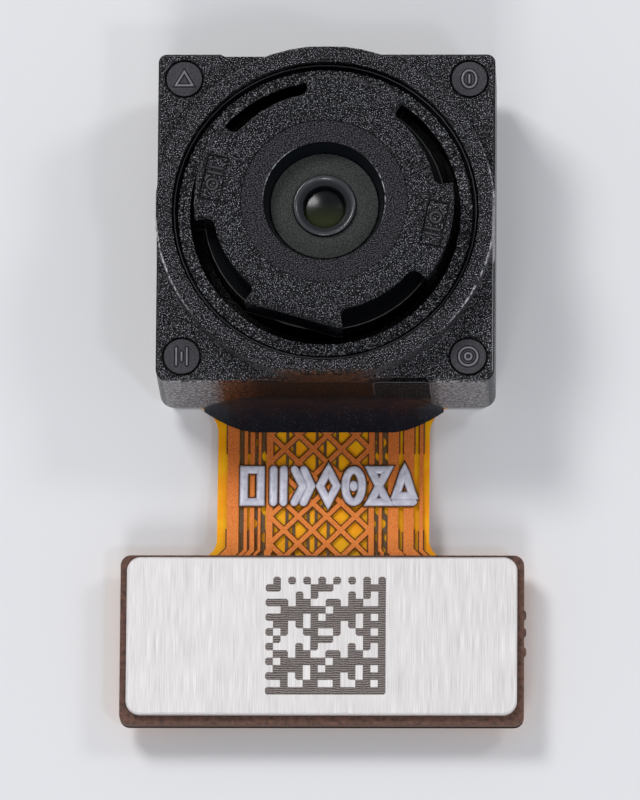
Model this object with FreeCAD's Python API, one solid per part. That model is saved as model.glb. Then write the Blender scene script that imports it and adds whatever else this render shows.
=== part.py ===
import FreeCAD, Part
import math
import os

os.makedirs("parts", exist_ok=True)

# A fixed-focus camera module: a moulded lens holder on a small board, with a flexible
# printed tail that ends in a connector tab. All sizes are in millimetres.
# +Z is the optical axis, towards the scene, +Y points away from the tail, and X runs
# across it. The origin is on the optical axis, in the back face of the metal back plate.

# Lens holder, the moulded square body
body_size = 6.50
body_height = 2.20
body_near_corner = 0.27
body_far_corner = 0.16
body_edge_bevel = 0.05
body_wall = 0.55
cavity_height = 0.80
cavity_corner = 0.30
web_thickness = 0.25
collar_overlap = 0.02
collar_height = 0.57
collar_edge_bevel = 0.03
collar_foot = 0.06
groove_inset = 0.378
groove_width = 0.124
groove_depth = 0.40
# Each fine ridge in the groove: its place from the groove's middle, its width, and how far
# its top lies below the collar's
groove_ridges = [(0.009, 0.022, 0.12), (-0.027, 0.016, 0.22)]
mouth_gap = 0.115
mouth_depth = 0.97
rim_drop = 0.22

# Mould marks and notches of the body
pad_inset = 0.50
pad_radius = 0.34
pad_groove = 0.045
pad_groove_depth = 0.04
gate_notch_x = 1.47
gate_notch_width = 1.08
gate_notch_depth = 0.09
gate_notch_corner = 0.14
gate_notch_lift = 0.03
far_relief_x = -1.57
far_relief_width = 0.80
far_relief_depth = 0.055
far_relief_ramp = 0.08

# Lens barrel
barrel_body_diameter = 4.66
barrel_thread_gap = 0.02
barrel_focus_gap = 0.10
barrel_above_face = 1.33
head_core_diameter = 4.29
lug_diameter = 4.98
lug_height = 0.90
lug_count = 4
lug_span = 46.0
lug_turn = -14.5
lug_inner_round = 0.15
lug_edge_bevel = 0.05
gate_flat_margin = 0.06
gate_slope_width = 0.105
gate_slope_drop = 0.13
gate_flat_turn = -106.0
top_step_diameter = 3.22
top_step_depth = 0.025
recess_top_diameter = 2.34
recess_floor_diameter = 2.08
recess_depth = 0.48
lip_diameter = 1.21
lip_height = 0.10
lip_top_opening = 1.12
stop_diameter = 0.81
stop_cone_depth = 0.14
front_wall = 0.15
lug_pocket_length = 0.88
lug_pocket_width = 0.40
lug_pocket_depth = 0.03
lug_pocket_radius = 2.16
lug_pocket_turn = 2.5

# Optical stack, front to back: radius, edge thickness, clear radius and swell of the front
# face, clear radius and swell of the rear face. A negative swell is a hollow.
lens_sizes = [
    (1.30, 0.38, 0.40, 0.075, 0.55, -0.05),
    (1.50, 0.30, 0.42, 0.03, 0.65, -0.08),
    (1.70, 0.35, 0.68, -0.06, 0.95, 0.10),
    (1.90, 0.30, 1.10, -0.05, 1.35, 0.05),
]
spacer_thicknesses = [0.02, 0.02, 0.12]
spacer_openings = [0.46, 0.72, 1.15]
lens_side_gap = 0.005
retainer_margin = 0.08
retainer_opening = 1.48
retainer_height = 0.20
baffle_thickness = 0.04
baffle_gap = 0.01

# Infrared filter
filter_size = 3.60
filter_thickness = 0.21
filter_gap = 0.05
filter_window = 3.00
filter_recess = 0.12
filter_glue = 0.015

# Sensor, its wires and the parts beside it
sensor_width = 3.80
sensor_depth = 3.40
sensor_thickness = 0.20
die_glue = 0.02
wire_width = 0.03
wire_count = 6
wire_pitch = 0.50
wire_pad_inset = 0.12
wire_rise = 0.16
wire_foot_width = 0.08
wire_foot_height = 0.02
capacitor_length = 0.60
capacitor_width = 0.30
capacitor_height = 0.30
capacitor_cap = 0.13
capacitor_cap_step = 0.012
capacitor_end_gap = 0.50
far_capacitor_count = 5
near_capacitor_count = 4

# Boards, back plate and adhesives under the body
board_inset = 0.12
board_thickness = 0.18
board_corner = 0.22
back_plate_thickness = 0.25
adhesive = 0.03

# Flexible tail: two copper layers between three films
film_thickness = 0.03
copper_thickness = 0.02
bond_line = 0.003
neck_width = 4.10
neck_length = 2.97
neck_offset_x = -0.08
head_flare = 0.55
tab_flare = 0.38
flare_margin = 0.03
bend_gap = 0.03
bend_tail = 0.12

# Copper pattern: the place of each line's middle, from the neck's left or right edge, and
# its width
hatch_left_inset = 1.072
hatch_right_inset = 1.170
hatch_pitch = 0.551
hatch_line = 0.088
hatch_crossing_inset = 0.221
hatch_crossing_from_wall = 0.76
left_strips = [(0.303, 0.225), (0.548, 0.062), (0.675, 0.085), (0.815, 0.050), (1.010, 0.125)]
right_strips = [(0.156, 0.070), (0.398, 0.195), (0.698, 0.205), (0.950, 0.060), (1.120, 0.105)]
left_bands = [(0.472, 0.095), (0.815, 0.210)]
right_bands = [(0.855, 0.110), (1.040, 0.115)]
track_insets = [0.276, 0.411, 0.848, 1.002, 1.238]
straight_track_count = 2
track_width = 0.058
track_jog = 0.16
scallop_radius = 0.115
scallop_depth = 0.070
fan_shift = 0.56
fan_start = 0.15

# Connector tab
tab_width = 7.78
tab_depth = 3.33
tab_corner = 0.20
tab_board_thickness = 0.20
tab_plate_thickness = 0.15
tab_plate_side_inset = 0.13
tab_plate_near_inset = 0.07
tab_plate_far_inset = 0.17
tab_plate_corner = 0.27
tab_plate_bevel = 0.03
tab_nub_radius = 0.10
tab_nub_height = 0.045
tab_nub_places = [1.16, 1.50, 1.88]

# Connector
connector_height = 0.50
connector_end_wall = 0.50
connector_width = 1.90
connector_corner = 0.12
trough_end_room = 0.50
trough_width = 0.60
trough_depth = 0.36
trough_bevel = 0.06
contact_pitch = 0.40
contact_count = 12
contact_width = 0.18
contact_thickness = 0.06
contact_tail = 0.26
contact_proud = 0.04
contact_recess = 0.03
contact_inner_reach = 0.31
anchor_width = 0.70
anchor_thickness = 0.06
anchor_tail = 0.20
anchor_leg = 0.40

# Resin bead along the foot of the body
bead_reach = 0.44
bead_climb = 1.00
bead_half_length = 2.32
bead_hollow_share = 0.36
bead_end_length = 0.96
bead_end_steps = [0.0, 0.12, 0.28, 0.50, 0.75, 1.0]
bead_end_scale = 0.08
bead_end_power = 1.6
bead_notch_top_gap = 0.14

# How near two places are to be the same one, and the degrees in a full turn
tolerance = 1e-6
full_turn = 360.0

# Heights of the stack
half_body = body_size / 2
head_under_z = back_plate_thickness + adhesive
tail_thickness = 3 * film_thickness + 2 * copper_thickness + 4 * bond_line
board_z = head_under_z + tail_thickness
board_top_z = board_z + board_thickness
body_z = board_top_z + adhesive
face_z = body_z + body_height
collar_top_z = face_z + collar_height
web_z = body_z + cavity_height
web_top_z = web_z + web_thickness
barrel_z = web_top_z + barrel_focus_gap
barrel_top_z = face_z + barrel_above_face
tab_under_z = connector_height
tab_board_z = tab_under_z + tail_thickness
tab_glue_z = tab_board_z + tab_board_thickness
tab_plate_z = tab_glue_z + adhesive
wall_y = -half_body
tab_near_y = wall_y - neck_length
tab_far_y = tab_near_y - tab_depth
cavity_size = body_size - 2 * body_wall
inset_half = half_body - board_inset
collar_diameter = body_size + 2 * collar_overlap
groove_diameter = collar_diameter - 2 * groove_inset
mouth_diameter = lug_diameter + 2 * mouth_gap
pad_offset = half_body - pad_inset
capacitor_pitch = (cavity_size - capacitor_length - 2 * capacitor_end_gap) / (far_capacitor_count - 1)
retainer_radius = lens_sizes[-1][0] + retainer_margin
neck_left = neck_offset_x - neck_width / 2
neck_right = neck_offset_x + neck_width / 2
hatch_left = neck_left + hatch_left_inset
hatch_right = neck_right - hatch_right_inset
trough_length = (contact_count - 1) * contact_pitch + trough_end_room
connector_length = trough_length + 2 * connector_end_wall
tail_top_z = tab_board_z + board_z
bend_lead = bead_reach + bend_gap


def vector(x, y, z):
    return FreeCAD.Vector(x, y, z)


def block(x0, x1, y0, y1, z0, z1):
    return Part.makeBox(x1 - x0, y1 - y0, z1 - z0, vector(x0, y0, z0))


def same(first, second):
    return abs(first - second) < tolerance


def cylinder(radius, z0, z1, x=0.0, y=0.0):
    return Part.makeCylinder(radius, z1 - z0, vector(x, y, z0))


def ring(inner_radius, outer_radius, z0, z1, x=0.0, y=0.0):
    outer = cylinder(outer_radius, z0, z1, x, y)
    return outer.cut(cylinder(inner_radius, z0, z1, x, y))


def turned(points):
    """A solid turned about Z from a closed outline of (radius, height) points."""
    corners = [vector(radius, 0, height) for radius, height in points]
    corners.append(corners[0])
    face = Part.Face(Part.makePolygon(corners))
    return face.revolve(vector(0, 0, 0), vector(0, 0, 1), full_turn)


def prism(points, z0, z1):
    """A prism from a closed outline of (x, y) points."""
    corners = [vector(x, y, z0) for x, y in points]
    corners.append(corners[0])
    face = Part.Face(Part.makePolygon(corners))
    return face.extrude(vector(0, 0, z1 - z0))


def is_upright(edge):
    start, end = edge.Vertexes[0].Point, edge.Vertexes[-1].Point
    return same(start.x, end.x) and same(start.y, end.y) and not same(start.z, end.z)


def upright_edges(shape, wanted):
    """The edges along Z whose foot (x, y) passes the test."""
    found = []
    for edge in shape.Edges:
        if len(edge.Vertexes) != 2 or not is_upright(edge):
            continue
        foot = edge.Vertexes[0].Point
        if wanted(foot.x, foot.y):
            found.append(edge)
    return found


def plate(x0, x1, y0, y1, z0, z1, near_corner, far_corner):
    """A flat plate whose corners at y0 and at y1 have their own radii."""
    body = block(x0, x1, y0, y1, z0, z1)
    near = upright_edges(body, lambda x, y: same(y, y0))
    body = body.makeFillet(near_corner, near)
    far = upright_edges(body, lambda x, y: same(y, y1))
    return body.makeFillet(far_corner, far)


def square_plate(size, z0, z1, corner):
    half = size / 2
    return plate(-half, half, -half, half, z0, z1, corner, corner)


def save(shape, node):
    shape.exportStep("parts/" + node + ".step")


def edges_at_height(shape, z):
    """The edges that lie wholly at one height."""
    return [edge for edge in shape.Edges if same(edge.BoundBox.ZMin, z) and same(edge.BoundBox.ZMax, z)]


# Lens holder

def make_body_block():
    return plate(-half_body, half_body, -half_body, half_body, body_z, face_z,
                 body_near_corner, body_far_corner)


def make_body_shell():
    shell = make_body_block()
    shell = shell.makeChamfer(body_edge_bevel, edges_at_height(shell, face_z))
    return shell.cut([make_gate_notch(), make_far_relief()])


def make_gate_notch():
    """The shallow upright channel in the wall over the tail, with round upper corners."""
    half = gate_notch_width / 2
    x0 = gate_notch_x - half
    x1 = gate_notch_x + half
    top = face_z + gate_notch_lift
    notch = block(x0, x1, wall_y - gate_notch_depth, wall_y + gate_notch_depth, body_z, top)
    corners = [edge for edge in edges_at_height(notch, top) if same(edge.BoundBox.XLength, 0.0)]
    return notch.makeFillet(gate_notch_corner, corners)


def make_far_relief():
    """The shallow recess in the far wall, whose ends slope out to the wall."""
    half = far_relief_width / 2
    wide = half + far_relief_ramp
    floor_y = half_body - far_relief_depth
    beyond = half_body + far_relief_depth
    return prism([
        (far_relief_x - half, floor_y), (far_relief_x + half, floor_y),
        (far_relief_x + wide, half_body), (far_relief_x + wide, beyond),
        (far_relief_x - wide, beyond), (far_relief_x - wide, half_body),
    ], body_z, face_z)


def make_collar():
    """The round collar, with a bevelled rim and a sloping foot, cut flat by the body's walls."""
    radius = collar_diameter / 2
    sink = body_edge_bevel * 2
    root_radius = radius + collar_foot + sink
    collar = turned([
        (0, face_z - sink), (root_radius, face_z - sink), (radius, face_z + collar_foot),
        (radius, collar_top_z - collar_edge_bevel), (radius - collar_edge_bevel, collar_top_z),
        (0, collar_top_z),
    ])
    reach = block(-half_body, half_body, -half_body, half_body, body_z, collar_top_z)
    return collar.common(reach)


def make_groove():
    """The cutter of the collar's groove, with the fine ridges left standing in it."""
    middle = groove_diameter / 2
    half = groove_width / 2
    floor = collar_top_z - groove_depth
    cutter = ring(middle - half, middle + half, floor, collar_top_z + collar_height)
    ridges = []
    for place, width, drop in groove_ridges:
        inner = middle + place - width / 2
        ridges.append(ring(inner, inner + width, floor, collar_top_z - drop))
    return cutter.cut(ridges)


def make_pad_grooves():
    grooves = []
    floor = face_z - pad_groove_depth
    outer = pad_radius + pad_groove
    for x in (-pad_offset, pad_offset):
        for y in (-pad_offset, pad_offset):
            grooves.append(ring(pad_radius, outer, floor, face_z + collar_height, x, y))
    return Part.makeCompound(grooves)


def make_lens_holder():
    holder = make_body_shell().cut(make_pad_grooves())
    holder = holder.fuse(make_collar())
    holder = holder.cut(make_groove())
    groove_inner = (groove_diameter - groove_width) / 2
    holder = holder.cut(cylinder(groove_inner, collar_top_z - rim_drop, collar_top_z + collar_height))
    mouth_floor = collar_top_z - mouth_depth
    holder = holder.cut(cylinder(mouth_diameter / 2, mouth_floor, collar_top_z))
    thread_radius = barrel_body_diameter / 2 + barrel_thread_gap
    holder = holder.cut(cylinder(thread_radius, web_top_z, mouth_floor))
    holder = holder.cut(square_plate(cavity_size, body_z, web_z, cavity_corner))
    half = filter_size / 2 + filter_gap
    holder = holder.cut(block(-half, half, -half, half, web_z, web_z + filter_recess))
    window_half = filter_window / 2
    window = block(-window_half, window_half, -window_half, window_half, web_z, web_top_z)
    return holder.cut(window).removeSplitter()


# Lens barrel

def make_lug(start_angle):
    """One lug: a sector of the head, from inside its core to the lug's own radius."""
    base = barrel_top_z - lug_height
    outer = lug_diameter / 2
    inner = head_core_diameter / 2 - lug_inner_round
    outline = [(inner, base), (outer, base), (outer, barrel_top_z), (inner, barrel_top_z)]
    corners = [vector(radius, 0, height) for radius, height in outline]
    corners.append(corners[0])
    face = Part.Face(Part.makePolygon(corners))
    lug = face.revolve(vector(0, 0, 0), vector(0, 0, 1), lug_span)
    lug.rotate(vector(0, 0, 0), vector(0, 0, 1), start_angle)
    return lug


def make_gate_flat():
    """The cutter of the flat on the near lug, sloping at first, where the gate was trimmed."""
    inner = head_core_diameter / 2 + gate_flat_margin
    wall = inner + gate_slope_width
    base = barrel_top_z - lug_height
    outline = [(inner, barrel_top_z), (wall, barrel_top_z - gate_slope_drop), (wall, base),
               (lug_diameter, base), (lug_diameter, barrel_top_z)]
    corners = [vector(radius, -lug_diameter, z) for radius, z in outline]
    corners.append(corners[0])
    flat = Part.Face(Part.makePolygon(corners)).extrude(vector(0, 2 * lug_diameter, 0))
    flat.rotate(vector(0, 0, 0), vector(0, 0, 1), gate_flat_turn)
    return flat


def make_head():
    head = cylinder(head_core_diameter / 2, barrel_top_z - lug_height, barrel_top_z)
    for index in range(lug_count):
        start = lug_turn + index * full_turn / lug_count - lug_span / 2
        head = head.fuse(make_lug(start))
    head = head.removeSplitter()
    core = head_core_diameter / 2
    inner_edges = upright_edges(head, lambda x, y: same(math.hypot(x, y), core))
    head = head.makeFillet(lug_inner_round, inner_edges)
    head = head.makeChamfer(lug_edge_bevel, edges_at_height(head, barrel_top_z))
    return head.cut(make_gate_flat())


def stack_depths():
    """The depth below the barrel's top of each lens's front face, and of the retainer's."""
    depths = []
    depth = recess_depth + front_wall
    for index, sizes in enumerate(lens_sizes):
        depths.append(depth)
        depth += sizes[1]
        if index < len(spacer_thicknesses):
            depth += spacer_thicknesses[index]
    return depths, depth


def make_front_recess():
    """The tapered recess round the raised lip, and the cone that leads to the stop."""
    floor = barrel_top_z - recess_depth
    recess = turned([
        (0, floor), (recess_floor_diameter / 2, floor),
        (recess_top_diameter / 2, barrel_top_z), (0, barrel_top_z),
    ])
    lip_top = floor + lip_height
    lip = turned([(0, floor), (lip_diameter / 2, floor), (lip_diameter / 2, lip_top), (0, lip_top)])
    cone = turned([
        (0, lip_top - stop_cone_depth), (stop_diameter / 2, lip_top - stop_cone_depth),
        (lip_top_opening / 2, lip_top), (0, lip_top),
    ])
    hole = cylinder(stop_diameter / 2, floor - front_wall, lip_top)
    step = cylinder(top_step_diameter / 2, barrel_top_z - top_step_depth, barrel_top_z)
    return [recess.cut(lip), cone, hole, step]


def make_lens_seats():
    """The stepped bore that each lens sits in, wider towards the back."""
    depths, retainer_depth = stack_depths()
    seats = []
    for sizes, depth in zip(lens_sizes, depths):
        seats.append(cylinder(sizes[0] + lens_side_gap, barrel_z, barrel_top_z - depth))
    seats.append(cylinder(retainer_radius + lens_side_gap, barrel_z, barrel_top_z - retainer_depth))
    return seats


def make_lug_pockets():
    """The shallow pockets for mould marks on two opposite lugs."""
    pockets = []
    half_length = lug_pocket_length / 2
    half_width = lug_pocket_width / 2
    for index in (0, lug_count // 2):
        pocket = block(lug_pocket_radius - half_width, lug_pocket_radius + half_width,
                       -half_length, half_length, barrel_top_z - lug_pocket_depth, barrel_top_z)
        turn = lug_turn + lug_pocket_turn + index * full_turn / lug_count
        pocket.rotate(vector(0, 0, 0), vector(0, 0, 1), turn)
        pockets.append(pocket)
    return pockets


def make_lens_barrel():
    barrel = cylinder(barrel_body_diameter / 2, barrel_z, barrel_top_z - lug_height)
    barrel = barrel.fuse(make_head())
    for cutter in make_front_recess() + make_lens_seats() + make_lug_pockets():
        barrel = barrel.cut(cutter)
    return barrel


def make_front_baffle():
    floor = barrel_top_z - recess_depth
    inner = lip_diameter / 2 + baffle_gap
    outer = recess_floor_diameter / 2 - baffle_gap
    return ring(inner, outer, floor, floor + baffle_thickness)


# Optical stack

def swell_height(clear_radius, swell, radius):
    """The height above the rim plane, at one radius, of a spherical swell."""
    sphere = (clear_radius ** 2 + swell ** 2) / (2 * abs(swell))
    height = math.sqrt(sphere ** 2 - radius ** 2) - (sphere - abs(swell))
    return math.copysign(height, swell)


def make_lens(sizes, top_z):
    """A lens with a flat flange, turned from its half section."""
    radius, thickness, front_clear, front_swell, rear_clear, rear_swell = sizes
    under_z = top_z - thickness
    front_lift = swell_height(front_clear, front_swell, front_clear / 2)
    rear_lift = swell_height(rear_clear, rear_swell, rear_clear / 2)
    front_mid = vector(front_clear / 2, 0, top_z + front_lift)
    rear_mid = vector(rear_clear / 2, 0, under_z - rear_lift)
    front_top = vector(0, 0, top_z + front_swell)
    rear_top = vector(0, 0, under_z - rear_swell)
    front_rim = vector(front_clear, 0, top_z)
    rear_rim = vector(rear_clear, 0, under_z)
    outline = Part.Wire([
        Part.Arc(front_top, front_mid, front_rim).toShape(),
        Part.makeLine(front_rim, vector(radius, 0, top_z)),
        Part.makeLine(vector(radius, 0, top_z), vector(radius, 0, under_z)),
        Part.makeLine(vector(radius, 0, under_z), rear_rim),
        Part.Arc(rear_rim, rear_mid, rear_top).toShape(),
        Part.makeLine(rear_top, front_top),
    ])
    return Part.Face(outline).revolve(vector(0, 0, 0), vector(0, 0, 1), full_turn)


def save_optical_stack():
    depths, retainer_depth = stack_depths()
    for index, (sizes, depth) in enumerate(zip(lens_sizes, depths)):
        save(make_lens(sizes, barrel_top_z - depth), "lens_element_" + str(index + 1))
    spacer_names = ["spacer_sheet_1", "spacer_sheet_2", "spacer_ring"]
    for index, name in enumerate(spacer_names):
        top_z = barrel_top_z - depths[index] - lens_sizes[index][1]
        under_z = top_z - spacer_thicknesses[index]
        save(ring(spacer_openings[index], lens_sizes[index][0], under_z, top_z), name)
    retainer_top = barrel_top_z - retainer_depth
    retainer = ring(retainer_opening, retainer_radius, retainer_top - retainer_height, retainer_top)
    save(retainer, "lens_retainer")


# Infrared filter

def make_filter_glue():
    half = filter_size / 2
    window = filter_window / 2
    top = web_z + filter_recess
    frame = block(-half, half, -half, half, top - filter_glue, top)
    return frame.cut(block(-window, window, -window, window, top - filter_glue, top))


def make_filter():
    half = filter_size / 2
    top = web_z + filter_recess - filter_glue
    return block(-half, half, -half, half, top - filter_thickness, top)


# Sensor and what stands beside it

def make_sensor_plate(z0, z1):
    return block(-sensor_width / 2, sensor_width / 2, -sensor_depth / 2, sensor_depth / 2, z0, z1)


def make_bond_wire(side, y):
    """One wire from a foot on the sensor's edge to a foot on the board, halfway to the wall."""
    sensor_top = board_top_z + die_glue + sensor_thickness
    start_x = sensor_width / 2 - wire_pad_inset
    end_x = (sensor_width + cavity_size) / 4
    crest_z = sensor_top + wire_rise
    slant = wire_width * math.sqrt(2)
    outline = [
        (start_x - wire_width / 2, sensor_top), (start_x - wire_width / 2, crest_z),
        (start_x + wire_pad_inset, crest_z), (end_x + wire_width / 2, board_top_z + slant),
        (end_x + wire_width / 2, board_top_z), (end_x - wire_width / 2, board_top_z),
        (end_x - wire_width / 2, board_top_z + slant),
        (start_x + wire_pad_inset - slant, crest_z - wire_width),
        (start_x + wire_width / 2, crest_z - wire_width), (start_x + wire_width / 2, sensor_top),
    ]
    corners = [vector(side * x, y - wire_width / 2, z) for x, z in outline]
    corners.append(corners[0])
    wire = Part.Face(Part.makePolygon(corners)).extrude(vector(0, wire_width, 0))
    half = wire_foot_width / 2
    feet = []
    for x, z in ((side * start_x, sensor_top), (side * end_x, board_top_z)):
        feet.append(block(x - half, x + half, y - half, y + half, z, z + wire_foot_height))
    return wire.fuse(feet)


def make_bond_wires():
    wires = []
    for side in (-1, 1):
        for index in range(wire_count):
            y = (index - (wire_count - 1) / 2) * wire_pitch
            wires.append(make_bond_wire(side, y))
    return Part.makeCompound(wires)


def make_capacitor(x, y):
    """A chip capacitor, whose end caps stand slightly proud of its middle."""
    half_length = capacitor_length / 2
    half_width = capacitor_width / 2
    step = capacitor_cap_step
    top = board_top_z + capacitor_height
    middle = block(x - half_length, x + half_length, y - half_width + step, y + half_width - step,
                   board_top_z, top - step)
    caps = []
    for start in (x - half_length, x + half_length - capacitor_cap):
        end = start + capacitor_cap
        caps.append(block(start, end, y - half_width, y + half_width, board_top_z, top))
    return middle.fuse(caps)


def make_capacitors():
    """A row on each side, halfway between the sensor and the wall."""
    row_y = (sensor_depth + cavity_size) / 4
    chips = []
    for count, y in ((far_capacitor_count, row_y), (near_capacitor_count, -row_y)):
        for index in range(count):
            chips.append(make_capacitor((index - (count - 1) / 2) * capacitor_pitch, y))
    return Part.makeCompound(chips)


def make_holder_adhesive():
    outer = square_plate(2 * inset_half, board_top_z, body_z, board_corner)
    return outer.cut(square_plate(cavity_size, board_top_z, body_z, cavity_corner))


# Flexible tail

def tail_bend():
    """The turn and the signed radius of the two equal arcs that lift the tail to the tab."""
    run = (wall_y - bend_lead) - (tab_near_y + bend_tail)
    rise = tab_under_z - head_under_z
    turn = 2 * math.atan(rise / run)
    return turn, run


def tail_path(height):
    """Edges along the tail's side at one height above its underside, from head to tab."""
    turn, run = tail_bend()
    first_y = wall_y - bend_lead
    last_y = tab_near_y + bend_tail
    start = vector(0, inset_half, head_under_z + height)
    first = vector(0, first_y, head_under_z + height)
    last = vector(0, last_y, tab_under_z + height)
    end = vector(0, tab_far_y, tab_under_z + height)
    if same(turn, 0.0):
        return [Part.makeLine(start, end)]
    radius = run / (2 * math.sin(turn))

    def on_first(angle):
        reach = radius - height
        z = head_under_z + radius - reach * math.cos(angle)
        return vector(0, first_y - reach * math.sin(angle), z)

    def on_last(angle):
        reach = radius + height
        z = tab_under_z - radius + reach * math.cos(angle)
        return vector(0, last_y + reach * math.sin(angle), z)

    return [
        Part.makeLine(start, first),
        Part.Arc(first, on_first(turn / 2), on_first(turn)).toShape(),
        Part.Arc(on_last(turn), on_last(turn / 2), last).toShape(),
        Part.makeLine(last, end),
    ]


def tail_layer(low, high):
    """A full-width sheet that follows the tail between two heights above its underside."""
    lower = tail_path(low)
    upper = tail_path(high)
    lower_start = lower[0].Vertexes[0].Point
    upper_start = upper[0].Vertexes[0].Point
    lower_end = lower[-1].Vertexes[-1].Point
    upper_end = upper[-1].Vertexes[-1].Point
    ends = [Part.makeLine(lower_end, upper_end), Part.makeLine(upper_start, lower_start)]
    face = Part.Face(Part.Wire(Part.__sortEdges__(lower + upper + ends)))
    half = max(tab_width, body_size)
    face.translate(vector(-half, 0, 0))
    return face.extrude(vector(2 * half, 0, 0))


def tail_outline():
    """The tail's plan: the head under the body, the neck and the tab, with round flares."""
    tab_left = neck_offset_x - tab_width / 2
    head = block(-inset_half, inset_half, -inset_half, inset_half, 0.0, tail_top_z)
    neck = block(neck_left, neck_right, tab_near_y, -inset_half, 0.0, tail_top_z)
    tab = block(tab_left, tab_left + tab_width, tab_far_y, tab_near_y, 0.0, tail_top_z)
    plan = head.fuse([neck, tab]).removeSplitter()
    head_step = min(inset_half + neck_left, inset_half - neck_right)
    tab_step = (tab_width - neck_width) / 2
    plan = round_neck(plan, -inset_half, min(head_flare, head_step - board_corner - flare_margin))
    plan = round_neck(plan, tab_near_y, min(tab_flare, tab_step - tab_corner - flare_margin))
    outer = upright_edges(plan, lambda x, y: same(abs(x), inset_half) and y > tab_near_y + tolerance)
    plan = plan.makeFillet(board_corner, outer)
    outer = upright_edges(plan, lambda x, y: same(abs(x - neck_offset_x), tab_width / 2))
    return plan.makeFillet(tab_corner, outer)


def round_neck(plan, y, radius):
    """Flare the two inner corners where the neck meets a wider piece at y."""
    corners = []
    for side in (neck_left, neck_right):
        corners += upright_edges(plan, lambda x, foot_y: same(foot_y, y) and same(x, side))
    return plan.makeFillet(radius, corners)


def layer_heights():
    """Bottom and top of each tail layer above the tail's underside, from the bottom up."""
    heights = []
    base = 0.0
    film, copper = film_thickness, copper_thickness
    for thickness in (film, copper, film, copper, film):
        heights.append((base, base + thickness))
        base += thickness + bond_line
    return heights


def track(points, width):
    """The plan of a copper track of even width along a line of points, with mitred turns."""
    left = []
    right = []
    for index, (x, y) in enumerate(points):
        before = points[max(index - 1, 0)]
        after = points[min(index + 1, len(points) - 1)]
        angle_in = math.atan2(y - before[1], x - before[0]) if index > 0 else None
        angle_out = math.atan2(after[1] - y, after[0] - x) if index < len(points) - 1 else None
        if angle_in is None:
            angle_in = angle_out
        if angle_out is None:
            angle_out = angle_in
        middle = (angle_in + angle_out) / 2
        reach = width / 2 / math.cos((angle_out - angle_in) / 2)
        left.append((x - reach * math.sin(middle), y + reach * math.cos(middle)))
        right.append((x + reach * math.sin(middle), y - reach * math.cos(middle)))
    return prism(left + right[::-1], 0.0, tail_top_z)


def strip_line(x):
    """A strip's line along the neck, which fans out at 45 degrees just before the tab."""
    from_middle = x - neck_offset_x
    edge_share = max(0.0, abs(from_middle) - (hatch_right - hatch_left) / 2) / (neck_width / 2)
    shift = math.copysign(fan_shift * edge_share, from_middle)
    turn_y = tab_near_y + fan_start
    end_y = tab_near_y - tab_flare
    return [(x, -inset_half), (x, turn_y), (x + shift, turn_y - abs(shift)), (x + shift, end_y)]


def placed(left_lines, right_lines):
    """The middle and width of each line, from its inset from the neck's left or right edge."""
    lines = [(neck_left + inset, width) for inset, width in left_lines]
    return lines + [(neck_right - inset, width) for inset, width in right_lines]


def steps_across(low, high, first, step):
    """The numbers of the steps from first that reach from low to high."""
    return range(math.floor((low - first) / step), math.ceil((high - first) / step) + 1)


def make_hatch():
    """The diamond hatch between the two inner strips."""
    near_end = tab_near_y - tab_flare
    sheet = block(hatch_left, hatch_right, near_end, -inset_half, 0.0, tail_top_z)
    step = hatch_pitch / 2
    reach = step - hatch_line / math.sqrt(2)
    first_x = hatch_left + hatch_crossing_inset
    first_y = wall_y - hatch_crossing_from_wall
    holes = []
    for column in steps_across(hatch_left, hatch_right, first_x, step):
        for row in steps_across(near_end, -inset_half, first_y, step):
            if (column + row) % 2 == 0:
                continue
            x = first_x + column * step
            y = first_y + row * step
            corners = [(x - reach, y), (x, y - reach), (x + reach, y), (x, y + reach)]
            holes.append(prism(corners, 0.0, tail_top_z))
    return sheet.cut(Part.makeCompound(holes))


def make_shield_plan():
    strips = [track(strip_line(x), width) for x, width in placed(left_strips, right_strips)]
    return make_hatch().fuse(strips)


def make_scallops(x, width):
    """Round bites out of both sides of a band, in step with the hatch."""
    bites = []
    first_y = wall_y - hatch_crossing_from_wall
    count = int(neck_length / hatch_pitch) + 1
    for index in range(count):
        for side in (-1, 1):
            y = first_y - (index + side / 4) * hatch_pitch
            middle = x + side * (width / 2 - scallop_depth + scallop_radius)
            bites.append(cylinder(scallop_radius, 0.0, tail_top_z, middle, y))
    return Part.makeCompound(bites)


def jogged_line(x):
    """A fine track's line, which jogs sideways twice at 45 degrees."""
    side = x - track_jog
    first_y = wall_y - hatch_crossing_from_wall + hatch_pitch
    second_y = tab_near_y + hatch_pitch * 2
    end_y = tab_near_y - tab_flare
    return [(side, -inset_half), (side, first_y), (x, first_y - track_jog), (x, second_y),
            (side, second_y - track_jog), (side, end_y)]


def make_signal_plan():
    """The lower copper: plain and scalloped bands, and the fine tracks under the hatch."""
    pieces = []
    for index, (x, width) in enumerate(placed(left_bands, right_bands)):
        band = track(strip_line(x), width)
        if index > 0:
            band = band.cut(make_scallops(x, width))
        pieces.append(band)
    for index, inset in enumerate(track_insets):
        x = hatch_left + inset
        straight = [(x, -inset_half), (x, tab_near_y - tab_flare)]
        line = straight if index < straight_track_count else jogged_line(x)
        pieces.append(track(line, track_width))
    return pieces


def save_tail():
    outline = tail_outline()
    bottom, signal, core, shield, top = layer_heights()
    save(tail_layer(*bottom).common(outline), "tail_bottom_film")
    save(tail_layer(*core).common(outline), "tail_core_film")
    save(tail_layer(*top).common(outline), "tail_top_film")
    save(tail_layer(*shield).common(make_shield_plan()).removeSplitter(), "tail_shield_copper")
    signal_sheet = tail_layer(*signal)
    tracks = []
    for piece in make_signal_plan():
        tracks.extend(signal_sheet.common(piece).Solids)
    save(Part.makeCompound(tracks), "tail_signal_copper")


# Connector tab

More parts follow.
